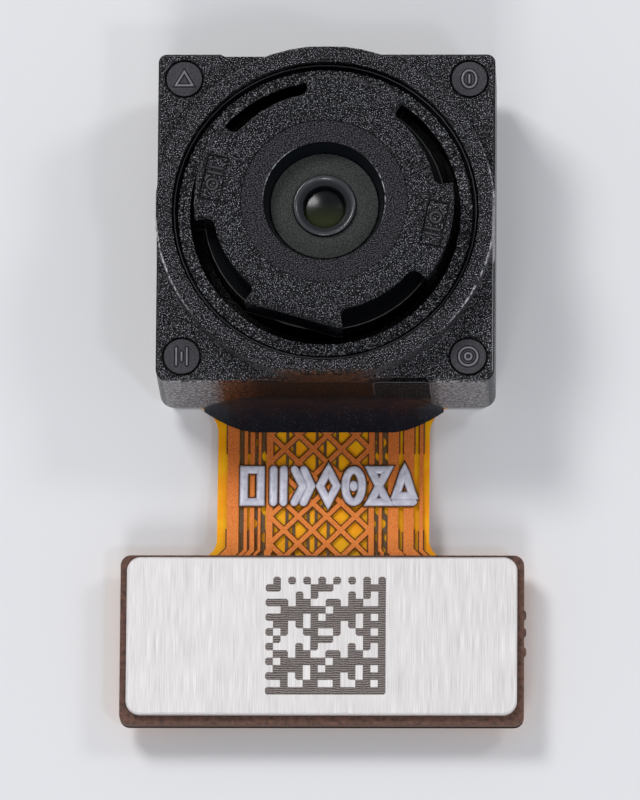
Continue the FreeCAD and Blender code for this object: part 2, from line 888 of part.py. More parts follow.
def make_tab_board():
    left = neck_offset_x - tab_width / 2
    right = left + tab_width
    board = plate(left, right, tab_far_y, tab_near_y, tab_board_z, tab_glue_z, tab_corner, tab_corner)
    nubs = []
    for place in tab_nub_places:
        nub = cylinder(tab_nub_radius, tab_board_z, tab_glue_z, right - tab_nub_radius + tab_nub_height,
                       tab_near_y - place)
        nubs.append(nub)
    return board.fuse(nubs).removeSplitter()


def make_tab_plate_blank(z0, z1):
    half = tab_width / 2 - tab_plate_side_inset
    return plate(neck_offset_x - half, neck_offset_x + half, tab_far_y + tab_plate_far_inset,
                 tab_near_y - tab_plate_near_inset, z0, z1, tab_plate_corner, tab_plate_corner)


def make_tab_plate():
    blank = make_tab_plate_blank(tab_plate_z, tab_plate_z + tab_plate_thickness)
    return blank.makeChamfer(tab_plate_bevel, edges_at_height(blank, tab_plate_z + tab_plate_thickness))


# Connector

def contact_profile(outer, inner):
    """The bent strip of one contact: tail, outer leg, wrap under the wall, inner leg."""
    strip = contact_thickness
    top = connector_height
    leg = outer + contact_proud
    low = contact_recess
    return [
        (leg - strip, top), (leg + contact_tail, top),
        (leg + contact_tail, top - strip), (leg, top - strip),
        (leg, low), (inner - strip, low), (inner - strip, low + contact_inner_reach),
        (inner, low + contact_inner_reach), (inner, low + strip), (leg - strip, low + strip),
    ]


def make_contact(x, side):
    outer = connector_width / 2
    inner = trough_width / 2
    corners = [vector(0, side * y, z) for y, z in contact_profile(outer, inner)]
    corners.append(corners[0])
    face = Part.Face(Part.makePolygon(corners))
    face.translate(vector(x - contact_width / 2, 0, 0))
    return face.extrude(vector(contact_width, 0, 0))


def contact_places():
    return [(index - (contact_count - 1) / 2) * contact_pitch for index in range(contact_count)]


def place_on_tab(shape):
    moved = shape.copy()
    moved.translate(vector(neck_offset_x, (tab_near_y + tab_far_y) / 2, 0))
    return moved


def make_contacts():
    return Part.makeCompound([make_contact(x, side) for side in (-1, 1) for x in contact_places()])


def make_anchors():
    half_length = connector_length / 2
    half_width = anchor_width / 2
    anchors = []
    for side in (-1, 1):
        outline = [
            (half_length - anchor_thickness, connector_height),
            (half_length + anchor_tail, connector_height),
            (half_length + anchor_tail, connector_height - anchor_thickness),
            (half_length, connector_height - anchor_thickness),
            (half_length, connector_height - anchor_leg),
            (half_length - anchor_thickness, connector_height - anchor_leg),
        ]
        corners = [vector(side * x, -half_width, z) for x, z in outline]
        corners.append(corners[0])
        anchors.append(Part.Face(Part.makePolygon(corners)).extrude(vector(0, anchor_width, 0)))
    return Part.makeCompound(anchors)


def make_contact_channels():
    """The open channels under the wall wraps of the contacts."""
    outer = connector_width / 2 + contact_proud
    inner = trough_width / 2 - contact_thickness
    channels = []
    for x in contact_places():
        x0 = x - contact_width / 2
        x1 = x + contact_width / 2
        for y0, y1 in ((inner, outer), (-outer, -inner)):
            channels.append(block(x0, x1, y0, y1, 0.0, contact_recess + contact_thickness))
    return Part.makeCompound(channels)


def make_connector_housing():
    half_length = connector_length / 2
    half_width = connector_width / 2
    housing = plate(-half_length, half_length, -half_width, half_width, 0.0, connector_height,
                    connector_corner, connector_corner)
    end_x = trough_length / 2
    side_y = trough_width / 2
    housing = housing.cut(block(-end_x, end_x, -side_y, side_y, 0.0, trough_depth))
    mouth = []
    for edge in edges_at_height(housing, 0.0):
        middle = edge.CenterOfMass
        if abs(middle.x) < end_x + tolerance and abs(middle.y) < side_y + tolerance:
            mouth.append(edge)
    housing = housing.makeChamfer(trough_bevel, mouth)
    housing = housing.cut(make_contact_channels())
    housing = housing.cut(make_contacts())
    return housing.cut(make_anchors())


# Resin bead

def bead_section(x, scale):
    """A closed section of the bead: foot on the tail, back on the board, hollow front."""
    reach = bead_reach * scale
    top_z = body_z + bead_climb * scale
    back = wall_y + board_inset
    toe = vector(x, wall_y - reach, board_z)
    tip = vector(x, wall_y, top_z)
    hollow_z = board_z + (top_z - board_z) * bead_hollow_share
    hollow = vector(x, wall_y - reach * bead_hollow_share, hollow_z)
    back_top = vector(x, back, top_z)
    back_foot = vector(x, back, board_z)
    return Part.Wire([
        Part.makeLine(back_foot, toe),
        Part.Arc(toe, hollow, tip).toShape(),
        Part.makeLine(tip, back_top),
        Part.makeLine(back_top, back_foot),
    ])


def bead_scale(step):
    """How full the bead is at a share of its end's length: it swells, then evens out."""
    swell = 1 - (1 - step) ** bead_end_power
    return bead_end_scale + (1 - bead_end_scale) * swell


def make_edge_sealant():
    """The bead, and the resin that fills the gate notch above it."""
    sections = []
    for step in bead_end_steps:
        place = bead_half_length - step * bead_end_length
        sections.append(bead_section(neck_offset_x - place, bead_scale(step)))
    for step in reversed(bead_end_steps):
        place = bead_half_length - step * bead_end_length
        sections.append(bead_section(neck_offset_x + place, bead_scale(step)))
    bead = Part.makeLoft(sections, True, True)
    body = make_body_block()
    bead = bead.cut(body)
    bead = bead.cut(square_plate(2 * inset_half, board_z, body_z, board_corner))
    fill = make_gate_notch().common(body)
    open_top = block(-body_size, body_size, -body_size, 0.0, face_z - bead_notch_top_gap, collar_top_z)
    return bead.fuse(fill.cut(open_top)).removeSplitter()


def main():
    save(make_lens_holder(), "lens_holder")
    save(make_lens_barrel(), "lens_barrel")
    save(make_front_baffle(), "front_baffle")
    save_optical_stack()
    save(make_filter_glue(), "filter_adhesive")
    save(make_filter(), "infrared_filter")
    save(make_sensor_plate(board_top_z, board_top_z + die_glue), "die_adhesive")
    sensor_z = board_top_z + die_glue
    save(make_sensor_plate(sensor_z, sensor_z + sensor_thickness), "image_sensor")
    save(make_bond_wires(), "bond_wires")
    save(make_capacitors(), "chip_capacitors")
    save(square_plate(2 * inset_half, board_z, board_top_z, board_corner), "sensor_board")
    save(make_holder_adhesive(), "holder_adhesive")
    save(square_plate(2 * inset_half, 0.0, back_plate_thickness, board_corner), "back_plate")
    glue = square_plate(2 * inset_half, back_plate_thickness, head_under_z, board_corner)
    save(glue, "back_plate_adhesive")
    save_tail()
    save(make_edge_sealant(), "edge_sealant")
    save(make_tab_board(), "tab_board")
    save(make_tab_plate_blank(tab_glue_z, tab_plate_z), "tab_plate_adhesive")
    save(make_tab_plate(), "tab_plate")
    save(place_on_tab(make_connector_housing()), "connector_housing")
    save(place_on_tab(make_contacts()), "connector_contacts")
    save(place_on_tab(make_anchors()), "connector_anchors")


main()
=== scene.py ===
"""Looks of a small camera module: finishes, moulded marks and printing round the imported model.

Lengths are written in millimetres and turned into metres when a mesh or a lamp is made.
Colours are written as 0 to 255 screen values and turned into linear ones by tone().
"""
import math

import bpy
from mathutils import Matrix, Vector
from mathutils.bvhtree import BVHTree


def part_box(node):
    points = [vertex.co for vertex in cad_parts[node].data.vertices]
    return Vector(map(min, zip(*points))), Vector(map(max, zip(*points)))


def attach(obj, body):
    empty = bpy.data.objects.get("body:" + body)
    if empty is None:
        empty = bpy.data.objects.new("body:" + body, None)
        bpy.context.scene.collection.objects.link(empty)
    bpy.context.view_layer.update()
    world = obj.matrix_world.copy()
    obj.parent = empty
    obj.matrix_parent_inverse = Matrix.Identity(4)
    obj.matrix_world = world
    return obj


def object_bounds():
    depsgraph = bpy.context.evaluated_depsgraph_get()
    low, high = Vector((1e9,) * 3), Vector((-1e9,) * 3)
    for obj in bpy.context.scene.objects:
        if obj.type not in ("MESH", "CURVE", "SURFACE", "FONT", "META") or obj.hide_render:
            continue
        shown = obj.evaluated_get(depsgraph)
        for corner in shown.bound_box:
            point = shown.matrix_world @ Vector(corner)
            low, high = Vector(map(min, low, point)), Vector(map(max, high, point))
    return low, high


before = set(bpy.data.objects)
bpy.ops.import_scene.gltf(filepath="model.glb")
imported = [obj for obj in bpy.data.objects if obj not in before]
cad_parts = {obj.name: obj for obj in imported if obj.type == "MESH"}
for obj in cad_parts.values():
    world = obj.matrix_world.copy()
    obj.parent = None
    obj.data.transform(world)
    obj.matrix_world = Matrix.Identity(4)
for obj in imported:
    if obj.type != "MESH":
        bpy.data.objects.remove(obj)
cad_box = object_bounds()

MM = 0.001

# Moulded marks on the body and the barrel
body_half = 3.25
pad_inset = 0.50
pad_mark_size = 0.17
pad_mark_width = 0.050
pad_mark_rise = 0.030
pocket_radius = 2.16
pocket_turns = (-12.0, 168.0)
pocket_length = 0.88
pocket_width = 0.40
pocket_mark_size = 0.30
pocket_mark_width = 0.055
pocket_mark_rise = 0.032
# The dark lines along the foot of the marks are painted shadows.
outline_extra = 0.060
outline_rise = 0.006

# Strokes: how far they sink in, their round ends, their sharpest mitre and their longest step
stroke_sink = 0.003
cap_turns = (25.0, 50.0, 70.0, 86.0)
mitre_limit = 0.5
longest_step = 0.06

# The notch in the near wall
notch_x = 1.47
notch_width = 1.08
notch_corner = 0.14
notch_top = 2.80
notch_low = 1.75
notch_rim_width = 0.036
notch_rim_rise = 0.012

# The rounded lip round the stop: radius and height from the lip's top
lip_top_depth = 0.38
lip_curve = ((0.603, -0.008), (0.545, 0.075), (0.407, -0.138))
lip_back = ((0.440, -0.140), (0.590, -0.040))
lip_curve_steps = 12
lip_turns = 96

# The printed row across the tail
print_left = -1.70
print_right = 1.73
print_near = -5.19
print_far = -4.355
print_stroke = 0.175
print_rise = 0.040
# The dark line along the foot of the print is painted shadow.
print_outline = 0.030
print_shape_share = 0.33

# Where the cover film folds down beside each line of the upper copper
fold_width = 0.026

# The square mark on the plate of the tab
cell_size = 0.1445
cell_count = 16
mark_left = -1.160
mark_near = -8.995
cell_rise = 0.004
cell_overlap = 0.003
cell_corner = 0.035

# Grain of the moulded plastic
grain_size = 0.036
grain_depth = 0.030
# The bright flecks on the grain are painted highlights.
glint_speck_size = 0.021
fine_grain_size = 0.022
side_grain_share = 0.06

# Where a look on the body begins and where it is full: a height, a place along an axis, or a
# distance from the optical axis or from the middle of a pad
# The mouth is painted near black as shade.
mouth_shade_radius = (2.66, 2.62)
mouth_shade_height = (3.14, 3.08)
wall_height = (2.83, 2.80)
near_wall_y = (-3.19, -3.23)
# The near wall's brown middle, warm left and grey ends are painted reflections of the tail and the table.
near_wall_warm_reflection_x = (-1.20, -2.00)
near_wall_grey_reflection_x = (1.94, 2.20)
# The warm near edge of the top is a painted reflection of the tail.
near_edge_reflection_y = (-3.10, -3.22)
near_edge_reflection_x = (1.80, 0.90)
# The groove round the collar is painted near black as shade.
groove_shade_inner_radius = (2.832, 2.838)
groove_shade_outer_radius = (2.952, 2.946)
groove_shade_height = (3.38, 3.34)
# The ridge in the groove is painted lighter as a highlight.
groove_ridge_highlight_height = (3.24, 3.275)
pad_top_radius = (0.342, 0.334)
# The ring groove round each pad is painted near black as shade.
pad_ring_shade_inner_radius = (0.334, 0.342)
pad_ring_shade_outer_radius = (0.389, 0.381)

# The lines of light on the body's edges
collar_line_radius = (3.236, 3.244)
collar_line_height = (3.35, 3.37)
collar_line_turns = (-24.0, 6.0, -164.0)
collar_line_spread = 24.0
side_line_x = (3.200, 3.220)
side_line_y = (0.60, -1.20)
side_line_height = (2.76, 2.80)
line_share = 0.8

# Where a look on the barrel begins and where it is full
barrel_side_height = (4.10, 4.02)
# A light line painted on the barrel's outer rim low down, as a highlight.
barrel_rim_highlight_radius = (2.309, 2.316)
barrel_rim_highlight_low = (3.22, 3.24)
barrel_rim_highlight_high = (3.29, 3.27)
# Below this height the barrel is painted near black as shade inside the holder.
barrel_deep_shade_height = (3.235, 3.215)
step_radius = (1.605, 1.595)
step_edge_radius = (1.585, 1.592)
recess_radius = (1.172, 1.162)
# A broken light line painted round the edge of the recess, as a highlight.
recess_highlight_radius = (1.186, 1.180)
recess_highlight_turns = (12.0, 148.0)
recess_highlight_spread = 34.0

# Where a look on the lens, the bead and the tail begins and where it is full
# The olive side of the lens is a painted reflection of its coating.
lens_olive_reflection_y = (0.10, -0.28)
notch_fill_height = (1.30, 1.60)
copper_shade_y = (-5.35, -4.35)
film_end_y = (-9.36, -9.46)
beam_line_pitch = 0.14

# The stage and the light
floor_half = 1500.0
floor_gap = 0.02
world_strength = 0.42

# The camera, from a fit to the picture
target = (0.0, -3.2, 2.0)
camera_azimuth = 7.43
camera_elevation = 76.75
camera_roll = -7.22
camera_distance = 220.0
pixels_per_mm = 51.975
picture_shift = (5.93, 10.82)
picture_height = 800.0
sensor_size = 36.0
nearest_view = 10.0


# Finishes

def tone(red, green, blue):
    """A screen colour, 0 to 255, as a linear one with full alpha."""
    linear = []
    for value in (red, green, blue):
        share = value / 255.0
        linear.append(share / 12.92 if share <= 0.04045 else ((share + 0.055) / 1.055) ** 2.4)
    return (*linear, 1.0)


class Finish:
    """One material and the nodes that feed its shader. Grain sizes are in millimetres."""

    def __init__(self, name, color, roughness, metallic=0.0, **settings):
        self.material = bpy.data.materials.new(name)
        self.material.use_nodes = True
        self.tree = self.material.node_tree
        self.shader = self.tree.nodes["Principled BSDF"]
        self.set(base_color=color, roughness=roughness, metallic=metallic, **settings)
        self.coordinates = self.tree.nodes.new("ShaderNodeTexCoord").outputs["Object"]
        self.height = None
        self.grained = None

    def set(self, **settings):
        """Fixed values for the shader's inputs, by their names with underscores."""
        for key, value in settings.items():
            words = key.replace("_", " ")
            for socket in self.shader.inputs:
                if socket.name.lower() == words:
                    socket.default_value = value

    def join(self, source, node, name):
        """A link from a socket to a node's input, by its name or number."""
        self.tree.links.new(source, node.inputs[name])

    def noise(self, size, detail=2.0, stretch=(1.0, 1.0, 1.0), seed=0.0):
        """Noise with grains of about this size, longer along an axis with a stretch above 1."""
        mapping = self.tree.nodes.new("ShaderNodeMapping")
        mapping.inputs["Scale"].default_value = [1.0 / (size * MM * share) for share in stretch]
        mapping.inputs["Location"].default_value = (seed, seed * 2.0, seed * 3.0)
        self.join(self.coordinates, mapping, "Vector")
        node = self.tree.nodes.new("ShaderNodeTexNoise")
        node.inputs["Scale"].default_value = 1.0
        node.inputs["Detail"].default_value = detail
        self.join(mapping.outputs["Vector"], node, "Vector")
        return node.outputs["Fac"]

    def span(self, value, low, high, out_low=0.0, out_high=1.0):
        """Value from low to high, as out_low to out_high, clamped."""
        node = self.tree.nodes.new("ShaderNodeMapRange")
        self.join(value, node, "Value")
        ends = {"From Min": low, "From Max": high, "To Min": out_low, "To Max": out_high}
        for name, number in ends.items():
            node.inputs[name].default_value = number
        return node.outputs["Result"]

    def ramp(self, value, place):
        """A share of 0 at the first end of a place and 1 at the second, which are in millimetres."""
        begins, full = place
        return self.span(value, begins * MM, full * MM)

    def blend(self, share, first, second):
        """The colour between first and second. Each is a colour or a socket."""
        node = self.tree.nodes.new("ShaderNodeMix")
        node.data_type = "RGBA"
        self.join(share, node, 0)
        for slot, color in ((6, first), (7, second)):
            if isinstance(color, tuple):
                node.inputs[slot].default_value = color
            else:
                self.join(color, node, slot)
        return node.outputs[2]

    def math(self, operation, first, second=0.0):
        """The result of a sum. Each side is a number or a socket."""
        node = self.tree.nodes.new("ShaderNodeMath")
        node.operation = operation
        for slot, value in ((0, first), (1, second)):
            if isinstance(value, (int, float)):
                node.inputs[slot].default_value = value
            else:
                self.join(value, node, slot)
        return node.outputs["Value"]

    def both(self, *shares):
        """The product of some shares, for where all of them hold."""
        product = shares[0]
        for share in shares[1:]:
            product = self.math("MULTIPLY", product, share)
        return product

    def axis(self, letter):
        """The distance along one axis of the part, in metres."""
        node = self.tree.nodes.new("ShaderNodeSeparateXYZ")
        self.join(self.coordinates, node, 0)
        return node.outputs[letter]

    def distance(self, first, second):
        """The length of the diagonal of two sides."""
        squares = [self.math("MULTIPLY", side, side) for side in (first, second)]
        return self.math("SQRT", self.math("ADD", *squares))

    def radius(self):
        """The distance from the optical axis, in metres."""
        return self.distance(self.axis("X"), self.axis("Y"))

    def glint(self, spread, *turns):
        """A broken line's share: to this far round each of these turns, in degrees about the axis."""
        angle = self.math("ARCTAN2", self.axis("Y"), self.axis("X"))
        share = None
        for turn in turns:
            away = self.math("ABSOLUTE", self.math("SUBTRACT", angle, math.radians(turn)))
            near = self.span(away, math.radians(spread), math.radians(spread / 3))
            share = near if share is None else self.math("MAXIMUM", share, near)
        breaks = self.span(self.noise(0.09, 2.0, seed=9.0), 0.40, 0.62)
        return self.both(share, breaks)

    def paint(self, color):
        """The socket that colours the shader."""
        self.join(color, self.shader, "Base Color")

    def rough(self, value):
        """The socket that sets the shader's roughness."""
        self.join(value, self.shader, "Roughness")

    def relief(self, height, depth):
        """Bumps of this height in millimetres, on top of those already there."""
        node = self.tree.nodes.new("ShaderNodeBump")
        node.inputs["Distance"].default_value = depth * MM
        self.join(height, node, "Height")
        if self.height is not None:
            self.join(self.height, node, "Normal")
        self.height = node.outputs["Normal"]
        self.join(self.height, self.shader, "Normal")


def grained_plastic(name, dark, light, speck, roughness, flat=None):
    """Black plastic from a spark-eroded mould, with bright flecks painted as highlights on its grain. The
    grain fades where flat is 1.
    """
    finish = Finish(name, dark, roughness, specular_ior_level=0.1)
    grain = finish.noise(grain_size, 2.0)
    # Painted highlights: bright flecks where light would catch the grain.
    specks = finish.span(finish.noise(glint_speck_size, 1.0, seed=4.0), 0.59, 0.68)
    base = finish.blend(finish.span(grain, 0.44, 0.60), dark, light)
    finish.grained = finish.blend(specks, base, speck)
    finish.paint(finish.grained)
    height = grain
    if flat is not None:
        height = finish.both(grain, finish.span(flat(finish), 0.0, 1.0, 1.0, side_grain_share))
    finish.relief(height, grain_depth)
    return finish


def near_wall_painted_reflection(finish, grain_and_glints):
    """Painted reflections of the tail and the table in the near wall: brown, warm at the left, and grey
    ends.
    """
    across = finish.axis("X")
    warm = finish.blend(grain_and_glints, tone(44, 22, 12), tone(116, 68, 44))
    grey = finish.blend(grain_and_glints, tone(76, 73, 75), tone(150, 147, 150))
    middle = finish.blend(finish.ramp(across, near_wall_warm_reflection_x), tone(24, 17, 14), warm)
    return finish.blend(finish.ramp(finish.math("ABSOLUTE", across), near_wall_grey_reflection_x), middle, grey)


def body_top_look(finish, height, grain_and_glints):
    """The grained top: its warm near edge, a painted reflection of the tail, the lines of light, and the
    groove, painted black as shade, with its ridge painted light as a highlight.
    """
    across = finish.axis("X")
    along = finish.axis("Y")
    radius = finish.radius()
    # Painted reflection: the near edge turns warm brown in front of the tail.
    warm = finish.both(finish.ramp(along, near_edge_reflection_y),
                       finish.ramp(finish.math("ABSOLUTE", across), near_edge_reflection_x))
    look = finish.blend(warm, finish.grained, finish.blend(grain_and_glints, tone(30, 18, 11), tone(78, 48, 32)))
    collar_line = finish.both(finish.ramp(radius, collar_line_radius),
                              finish.ramp(height, collar_line_height),
                              finish.glint(collar_line_spread, *collar_line_turns))
    side_line = finish.both(finish.ramp(across, side_line_x), finish.ramp(along, side_line_y),
                            finish.ramp(height, side_line_height))
    lines = finish.math("MAXIMUM", collar_line, side_line)
    look = finish.blend(finish.math("MULTIPLY", lines, line_share), look, tone(214, 212, 216))
    # Painted shade: the groove is near black.
    groove = finish.both(finish.ramp(radius, groove_shade_inner_radius),
                         finish.ramp(radius, groove_shade_outer_radius), finish.ramp(height, groove_shade_height))
    look = finish.blend(groove, look, tone(2, 2, 3))
    # Painted highlight: the ridge in the groove is lighter grey.
    ridge = finish.both(groove, finish.ramp(height, groove_ridge_highlight_height))
    return finish.blend(ridge, look, tone(60, 60, 64))


def make_holder_finish():
    """Grained on top, smooth on the pads and walls, and painted black as shade in the mouth and round the
    pads.
    """
    # The third tone is the colour of the painted highlights on the grain.
    finish = grained_plastic("holder plastic", tone(1, 1, 1), tone(32, 32, 35), tone(168, 168, 175), 0.45)
    height = finish.axis("Z")
    # Noise for the grain of the walls and for the broken light in the painted reflections.
    grain_and_glints = finish.span(finish.noise(0.060, 3.0, seed=5.0), 0.44, 0.60)
    pad_place = (body_half - pad_inset) * MM
    pad = finish.distance(*[finish.math("SUBTRACT", finish.math("ABSOLUTE", finish.axis(letter)), pad_place)
                            for letter in "XY"])
    pad_look = finish.blend(finish.noise(fine_grain_size, 1.0, seed=6.0), tone(30, 30, 33), tone(88, 87, 92))
    look = finish.blend(finish.ramp(pad, pad_top_radius), body_top_look(finish, height, grain_and_glints), pad_look)
    side = finish.blend(grain_and_glints, tone(20, 20, 22), tone(42, 41, 44))
    # The near wall is painted with reflections of the tail and the table.
    side = finish.blend(finish.ramp(finish.axis("Y"), near_wall_y), side, near_wall_painted_reflection(finish, grain_and_glints))
    wall = finish.ramp(height, wall_height)
    look = finish.blend(wall, look, side)
    # Painted shade: the mouth is near black.
    mouth = finish.both(finish.ramp(finish.radius(), mouth_shade_radius), finish.ramp(height, mouth_shade_height))
    look = finish.blend(mouth, look, tone(2, 2, 2))
    # Painted shade: a near black ring round each pad.
    pad_ring = finish.both(finish.ramp(pad, pad_ring_shade_inner_radius), finish.ramp(pad, pad_ring_shade_outer_radius))
    finish.paint(finish.blend(pad_ring, look, tone(2, 2, 3)))
    finish.rough(finish.span(wall, 0.0, 1.0, 0.45, 0.20))
    return finish.material


def make_barrel_finish():
    """Grained on top, finer on the step round the recess, smooth and bluish below, with painted highlights
    on two rims and painted shade where it goes into the holder.
    """
    # The third tone is the colour of the painted highlights on the grain.
    finish = grained_plastic("barrel plastic", tone(1, 1, 1), tone(20, 20, 23), tone(150, 150, 158), 0.45,
                             lambda made: made.ramp(made.axis("Z"), barrel_side_height))
    radius = finish.radius()
    height = finish.axis("Z")
    side = finish.ramp(height, barrel_side_height)
    look = finish.blend(side, finish.grained, tone(5, 6, 9))
    # Painted highlight: a light grey line on the outer rim low on the barrel.
    rim = finish.both(finish.ramp(radius, barrel_rim_highlight_radius), finish.ramp(height, barrel_rim_highlight_low),
                      finish.ramp(height, barrel_rim_highlight_high))
    look = finish.blend(rim, look, tone(72, 72, 70))
    # Painted shade: near black where the barrel goes down into the holder.
    look = finish.blend(finish.ramp(height, barrel_deep_shade_height), look, tone(1, 1, 1))
    step = finish.ramp(radius, step_radius)
    fine = finish.span(finish.noise(fine_grain_size, 1.0, seed=7.0), 0.47, 0.67)
    look = finish.blend(step, look, finish.blend(fine, tone(1, 1, 1), tone(90, 88, 95)))
    look = finish.blend(finish.both(step, finish.ramp(radius, step_edge_radius)), look, tone(3, 3, 4))
    # Painted highlight: a broken light line round the edge of the recess.
    recess_highlight = finish.both(finish.ramp(radius, recess_highlight_radius),
                              finish.glint(recess_highlight_spread, *recess_highlight_turns))
    look = finish.blend(recess_highlight, look, tone(170, 174, 180))
    finish.paint(finish.blend(finish.ramp(radius, recess_radius), look, tone(13, 17, 21)))
    finish.rough(finish.span(side, 0.0, 1.0, 0.45, 0.22))
    return finish.material


def plain(name, color, roughness, metallic=0.0, spread=0.25, size=0.08, depth=0.002, **settings):
    """A finish whose colour wanders a little, with faint bumps."""
    finish = Finish(name, color, roughness, metallic, **settings)
    grain = finish.noise(size, 3.0)
    dark = (*[value * (1.0 - spread) for value in color[:3]], 1.0)
    light = (*[min(1.0, value * (1.0 + spread)) for value in color[:3]], 1.0)
    finish.paint(finish.blend(grain, dark, light))
    finish.relief(grain, depth)
    return finish.material


def make_baffle_finish():
    """Greenish black film with a fine matt grain."""
    finish = Finish("baffle sheet", tone(38, 41, 39), 0.6, specular_ior_level=0.2)
    grain = finish.noise(fine_grain_size, 1.0)
    finish.paint(finish.blend(finish.span(grain, 0.3, 0.72), tone(16, 18, 17), tone(68, 72, 69)))
    finish.relief(grain, 0.002)
    return finish.material


def make_lens_finish():
    """Coated resin, nearly black, with an olive reflection of its coating painted towards one side."""
    finish = Finish("coated lens", tone(30, 34, 18), 0.22, ior=1.5, transmission_weight=0.5,
                    specular_ior_level=0.06)
    # Painted reflection: olive towards one side.
    olive = finish.ramp(finish.axis("Y"), lens_olive_reflection_y)
    finish.paint(finish.blend(olive, tone(14, 15, 19), tone(54, 62, 24)))
    return finish.material


def make_sealant_finish():
    """Dark resin with a smooth skin and a few fine sparkles painted as highlights; up in the notch it is
    darker, as painted shade, rougher and with pale flecks.
    """
    finish = Finish("sealant resin", tone(14, 14, 20), 0.34, specular_ior_level=0.12)
    waves = finish.noise(0.35, 2.0)
    # Painted highlights: fine light sparkles on the resin.
    specks = finish.span(finish.noise(0.024, 1.0, seed=2.0), 0.68, 0.76)
    base = finish.blend(waves, tone(10, 13, 19), tone(22, 27, 36))
    # Painted shade: darker up in the notch.
    inside = finish.ramp(finish.axis("Z"), notch_fill_height)
    base = finish.blend(inside, base, tone(7, 6, 6))
    # Pale flecks up in the notch.
    pale_flecks = finish.both(inside, finish.span(finish.noise(0.030, 2.0, seed=3.0), 0.60, 0.70))
    base = finish.blend(pale_flecks, base, tone(74, 70, 68))
    finish.paint(finish.blend(specks, base, tone(96, 96, 110)))
    finish.rough(finish.span(inside, 0.0, 1.0, 0.34, 0.80))
    finish.relief(waves, 0.010)
    finish.relief(finish.noise(0.05, 2.0), 0.003)
    return finish.material


def make_shield_finish():
    """Orange copper seen through the cover film, browner, as painted shade, where the tail goes under the
    body.
    """
    finish = Finish("shield copper", tone(222, 128, 66), 0.42, metallic=0.35)
    grain = finish.noise(0.035, 3.0)
    bright = finish.blend(finish.span(grain, 0.3, 0.7), tone(206, 106, 34), tone(232, 136, 62))
    brown = finish.blend(finish.span(grain, 0.3, 0.7), tone(200, 98, 36), tone(232, 130, 64))
    shade = finish.ramp(finish.axis("Y"), copper_shade_y)
    finish.paint(finish.blend(shade, bright, brown))
    finish.relief(grain, 0.002)
    return finish.material


def make_inner_copper_finish():
    """The lower copper, which looks dull grey through two films."""
    finish = Finish("inner copper", tone(44, 38, 38), 0.5)
    grain = finish.noise(0.05, 2.0)
    finish.paint(finish.blend(grain, tone(26, 22, 22), tone(60, 54, 54)))
    finish.relief(grain, 0.002)
    return finish.material


def make_fold_shade_finish():
    """The dark line where the cover film folds down beside the copper, painted dark as shade."""
    finish = Finish("film fold", tone(90, 42, 14), 0.3)
    grain = finish.noise(0.05, 2.0)
    finish.paint(finish.blend(grain, tone(58, 24, 8), tone(104, 50, 18)))
    return finish.material


def make_film_finish(name, dark, light, alpha, roughness):
    """Clear amber film, a little uneven, and brown where it is cut off under the tab."""
    finish = Finish(name, light, roughness, alpha=alpha, coat_weight=0.06, coat_roughness=0.12,
                    specular_ior_level=0.2)
    waves = finish.noise(0.35, 3.0)
    amber = finish.blend(finish.span(waves, 0.35, 0.65), dark, light)
    finish.paint(finish.blend(finish.ramp(finish.axis("Y"), film_end_y), amber, tone(52, 32, 22)))
    finish.relief(waves, 0.010)
    return finish.material


def make_plate_finish():
    """Bright steel, brushed along the part."""
    finish = Finish("plate steel", tone(244, 243, 243), 0.36, metallic=0.45)
    lines = finish.noise(0.014, 3.0, stretch=(1.0, 50.0, 1.0))
    broad = finish.noise(0.08, 2.0, stretch=(1.0, 20.0, 1.0), seed=3.0)
    mixed = finish.math("ADD", finish.math("MULTIPLY", lines, 0.80), finish.math("MULTIPLY", broad, 0.20))
    finish.paint(finish.blend(finish.span(mixed, 0.32, 0.66), tone(222, 217, 216), tone(250, 246, 244)))
    finish.rough(finish.span(mixed, 0.3, 0.7, 0.30, 0.46))
    finish.relief(lines, 0.0012)
    return finish.material


def make_board_finish():
    """Brown laminate with a milled edge."""
    finish = Finish("tab laminate", tone(96, 68, 54), 0.6)
    fibres = finish.noise(0.05, 3.0, stretch=(2.0, 2.0, 0.4))
    finish.paint(finish.blend(finish.span(fibres, 0.3, 0.7), tone(58, 34, 24), tone(106, 70, 54)))
    finish.relief(fibres, 0.008)
    return finish.material


def make_print_finish():
    """Thick pale ink, darker where it thins out."""
    finish = Finish("raised ink", tone(204, 202, 214), 0.34)
    waves = finish.noise(0.16, 2.0)
    finish.paint(finish.blend(finish.span(waves, 0.3, 0.7), tone(182, 180, 194), tone(214, 212, 224)))
    finish.relief(waves, 0.020)
    return finish.material


def make_etched_finish():
    """Scorched metal, crossed by the fine lines that the marking beam leaves."""
    finish = Finish("etched mark", tone(104, 98, 94), 0.7, metallic=0.3)
    wave = finish.tree.nodes.new("ShaderNodeTexWave")
    wave.inputs["Scale"].default_value = 1.0 / (beam_line_pitch * MM)
    wave.inputs["Distortion"].default_value = 3.0
    wave.bands_direction = "Y"
    finish.join(finish.coordinates, wave, "Vector")
    grain = finish.noise(0.03, 2.0)
    mixed = finish.both(wave.outputs["Fac"], grain)
    finish.paint(finish.blend(finish.span(mixed, 0.1, 0.45), tone(70, 62, 60), tone(152, 142, 138)))
    return finish.material


